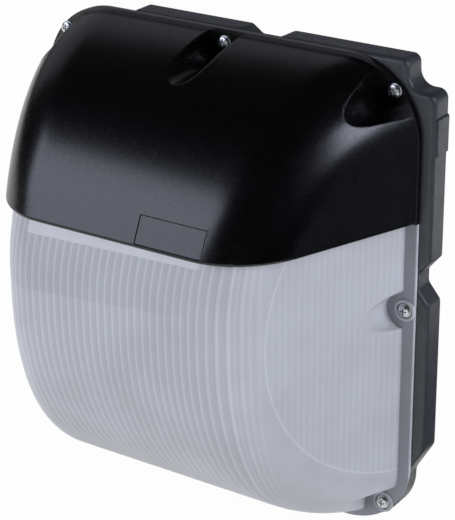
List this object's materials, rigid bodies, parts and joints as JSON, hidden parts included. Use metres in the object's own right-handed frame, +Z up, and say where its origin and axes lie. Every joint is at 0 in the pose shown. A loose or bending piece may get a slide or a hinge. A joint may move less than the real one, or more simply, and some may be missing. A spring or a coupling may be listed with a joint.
{
  "type": "wall pack light",
  "caption": "Outdoor wall pack light: shallow black wall housing, prismatic bowl lens and a black hood over its upper half, with plug-in lamps and gear inside.",
  "frame": {"origin": "on the wall plane, at the middle of the housing's back face", "axes": "+X to the right along the wall, +Y into the wall, +Z up"},
  "size_m": [0.3012, 0.1505, 0.3232],
  "materials": {
    "housing_black": "moulded black glass-filled polymer, satin",
    "hood_black": "moulded black polymer with a fine grain",
    "lens_clear": "prismatic opal polycarbonate",
    "gasket_rubber": "silicone cord",
    "grommet_rubber": "moulded rubber",
    "seal_rubber": "rubber washer",
    "screw_steel": "stainless steel",
    "washer_steel": "stainless steel",
    "plated_steel": "zinc-plated steel",
    "tray_steel": "white powder coat",
    "reflector_white": "gloss white enamel",
    "gear_case": "light grey coated steel",
    "terminal_white": "white polyamide",
    "clamp_black": "black polyamide",
    "brass": "machined brass",
    "holder_white": "white moulded plastic",
    "clip_white": "white polycarbonate",
    "lamp_glass": "phosphor-coated glass",
    "lamp_base_white": "white moulded plastic"
  },
  "bodies": {
    "housing": {"back_housing": "housing_black", "cover_gasket": "gasket_rubber", "wall_fixing_seals": "seal_rubber", "cable_grommet": "grommet_rubber", "gear_tray": "tray_steel", "gear_tray_screws": "plated_steel", "ballast": "gear_case", "ballast_terminals": "terminal_white", "ballast_screws": "plated_steel", "terminal_block": "terminal_white", "terminal_screws": "brass", "cable_clamp": "clamp_black", "cable_clamp_screws": "plated_steel", "earth_terminal": "brass", "reflector": "reflector_white", "reflector_screws": "plated_steel", "lampholder_bracket": "tray_steel", "bracket_screws": "plated_steel", "lampholder_upper": "holder_white", "lampholder_lower": "holder_white", "lamp_clips": "clip_white"},
    "cover": {"lens": "lens_clear", "hood": "hood_black", "blanking_plate": "hood_black", "cover_screws": "screw_steel", "screw_washers": "washer_steel"},
    "lamp_upper": {"lamp_upper_tubes": "lamp_glass", "lamp_upper_base": "lamp_base_white"},
    "lamp_lower": {"lamp_lower_tubes": "lamp_glass", "lamp_lower_base": "lamp_base_white"}
  },
  "joints": [
    {"name": "cover_lift_off", "type": "slide", "parent": "housing", "child": "cover", "axis": [0, -1, 0], "range_m": [0, 0.2]},
    {"name": "lamp_upper_unplug", "type": "slide", "parent": "housing", "child": "lamp_upper", "axis": [-1, 0, 0], "range_m": [0, 0.016]},
    {"name": "lamp_lower_unplug", "type": "slide", "parent": "housing", "child": "lamp_lower", "axis": [-1, 0, 0], "range_m": [0, 0.016]}
  ]
}
